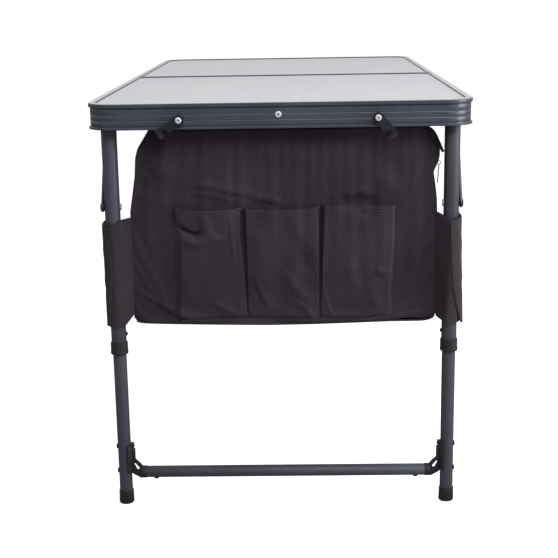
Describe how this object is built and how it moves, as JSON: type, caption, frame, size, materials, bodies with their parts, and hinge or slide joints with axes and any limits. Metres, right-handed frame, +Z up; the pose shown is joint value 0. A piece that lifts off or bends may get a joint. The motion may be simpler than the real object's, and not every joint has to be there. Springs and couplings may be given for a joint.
{
  "type": "folding camp kitchen table",
  "caption": "Case-style folding camp kitchen table: two-part laminate top in a ribbed aluminium rim, telescopic folding legs, swivel latches and a hanging fabric cupboard with pockets.",
  "frame": {"origin": "centre of the table's footprint, on the floor under the feet", "axes": "+Z up, X across the table's width, Y along its length with the latched near end at -Y"},
  "size_m": [0.605, 1.2216, 0.675],
  "materials": {
    "laminate": "satin grey laminate with a fine grain",
    "frame_powder_coat": "satin slate-grey powder coat",
    "leg_powder_coat": "satin slate-grey powder coat",
    "brace_black": "black powder coat",
    "black_plastic": "textured moulded black plastic",
    "zinc_steel": "bright zinc plate",
    "black_steel": "blackened steel",
    "bare_aluminium": "mill finish",
    "webbing": "woven polypropylene webbing",
    "zip_tape": "woven zip tape with a nylon coil",
    "zip_metal": "black enamelled zinc casting",
    "pocket_fabric": "coated polyester weave",
    "cupboard_fabric": "coated polyester weave"
  },
  "bodies": {
    "root": {"near_panel": "laminate", "near_edge_frame": "frame_powder_coat", "near_seam_rail": "frame_powder_coat", "near_stiffeners": "bare_aluminium", "near_leg_brackets": "zinc_steel", "near_pivot_pins": "zinc_steel", "near_brace_studs": "zinc_steel", "near_hinge_leaves": "zinc_steel", "hinge_pins": "zinc_steel", "end_screws": "zinc_steel", "cupboard_end_panel": "cupboard_fabric", "cupboard_inner_panel": "cupboard_fabric", "cupboard_floor": "cupboard_fabric", "cupboard_roof": "cupboard_fabric", "cupboard_side_wall": "cupboard_fabric", "cupboard_zip_door": "cupboard_fabric", "cupboard_shelf": "cupboard_fabric", "pocket_left": "pocket_fabric", "pocket_middle": "pocket_fabric", "pocket_right": "pocket_fabric", "leg_wrap_left": "cupboard_fabric", "leg_wrap_right": "cupboard_fabric", "hanging_straps": "webbing", "zip_track": "zip_tape"},
    "far_half": {"far_panel": "laminate", "far_edge_frame": "frame_powder_coat", "far_seam_rail": "frame_powder_coat", "far_stiffeners": "bare_aluminium", "far_leg_brackets": "zinc_steel", "far_pivot_pins": "zinc_steel", "far_brace_studs": "zinc_steel", "far_hinge_leaves": "zinc_steel", "keeper_studs": "zinc_steel"},
    "zip": {"zip_slider": "zip_metal"},
    "latch_left": {"latch_left": "black_plastic"},
    "latch_right": {"latch_right": "black_plastic"},
    "near_upper_legs": {"near_upper_legs": "leg_powder_coat", "near_leg_axle": "leg_powder_coat", "near_leg_collars": "black_plastic", "near_brace_pins": "black_steel"},
    "near_lower_legs": {"near_lower_legs": "leg_powder_coat", "near_crossbar": "leg_powder_coat", "near_elbows": "black_plastic", "near_leg_rivets": "black_steel", "near_feet": "black_plastic"},
    "near_braces": {"near_braces": "brace_black"},
    "near_button_left": {"near_snap_button_left": "zinc_steel"},
    "near_button_right": {"near_snap_button_right": "zinc_steel"},
    "far_upper_legs": {"far_upper_legs": "leg_powder_coat", "far_leg_axle": "leg_powder_coat", "far_leg_collars": "black_plastic", "far_brace_pins": "black_steel"},
    "far_lower_legs": {"far_lower_legs": "leg_powder_coat", "far_crossbar": "leg_powder_coat", "far_elbows": "black_plastic", "far_leg_rivets": "black_steel", "far_feet": "black_plastic"},
    "far_braces": {"far_braces": "brace_black"},
    "far_button_left": {"far_snap_button_left": "zinc_steel"},
    "far_button_right": {"far_snap_button_right": "zinc_steel"}
  },
  "joints": [
    {"name": "bifold", "type": "hinge", "parent": "root", "child": "far_half", "pos_m": [0, 0, 0.6323], "axis": [-1, 0, 0], "range_deg": [0, 70]},
    {"name": "near_leg_fold", "type": "hinge", "parent": "root", "child": "near_upper_legs", "pos_m": [0, -0.57, 0.647], "axis": [1, 0, 0], "range_deg": [0, 90]},
    {"name": "near_leg_height", "type": "slide", "parent": "near_upper_legs", "child": "near_lower_legs", "axis": [0, 0, 1], "range_m": [0, 0.14]},
    {"name": "near_brace_swing", "type": "hinge", "parent": "near_upper_legs", "child": "near_braces", "pos_m": [0, -0.57, 0.509], "axis": [1, 0, 0], "range_deg": [-150, 0]},
    {"name": "near_button_left_press", "type": "slide", "parent": "near_lower_legs", "child": "near_button_left", "axis": [-1, 0, 0], "range_m": [0, 0.0042]},
    {"name": "near_button_right_press", "type": "slide", "parent": "near_lower_legs", "child": "near_button_right", "axis": [1, 0, 0], "range_m": [0, 0.0042]},
    {"name": "far_leg_fold", "type": "hinge", "parent": "far_half", "child": "far_upper_legs", "pos_m": [0, 0.57, 0.647], "axis": [-1, 0, 0], "range_deg": [0, 90]},
    {"name": "far_leg_height", "type": "slide", "parent": "far_upper_legs", "child": "far_lower_legs", "axis": [0, 0, 1], "range_m": [0, 0.14]},
    {"name": "far_brace_swing", "type": "hinge", "parent": "far_upper_legs", "child": "far_braces", "pos_m": [0, 0.57, 0.509], "axis": [-1, 0, 0], "range_deg": [-150, 0]},
    {"name": "far_button_left_press", "type": "slide", "parent": "far_lower_legs", "child": "far_button_left", "axis": [-1, 0, 0], "range_m": [0, 0.0042]},
    {"name": "far_button_right_press", "type": "slide", "parent": "far_lower_legs", "child": "far_button_right", "axis": [1, 0, 0], "range_m": [0, 0.0042]},
    {"name": "latch_left_turn", "type": "hinge", "parent": "root", "child": "latch_left", "pos_m": [-0.1562, -0.605, 0.6495], "axis": [0, -1, 0], "range_deg": [-34, 56]},
    {"name": "latch_right_turn", "type": "hinge", "parent": "root", "child": "latch_right", "pos_m": [0.1518, -0.605, 0.6495], "axis": [0, 1, 0], "range_deg": [-49, 41]},
    {"name": "zip_run", "type": "slide", "parent": "root", "child": "zip", "axis": [0, 0, -1], "range_m": [0, 0.18]}
  ],
  "couplings": [
    {"joint": "near_brace_swing", "follows": "near_leg_fold", "ratio": -1.6667},
    {"joint": "far_brace_swing", "follows": "far_leg_fold", "ratio": -1.6667}
  ]
}
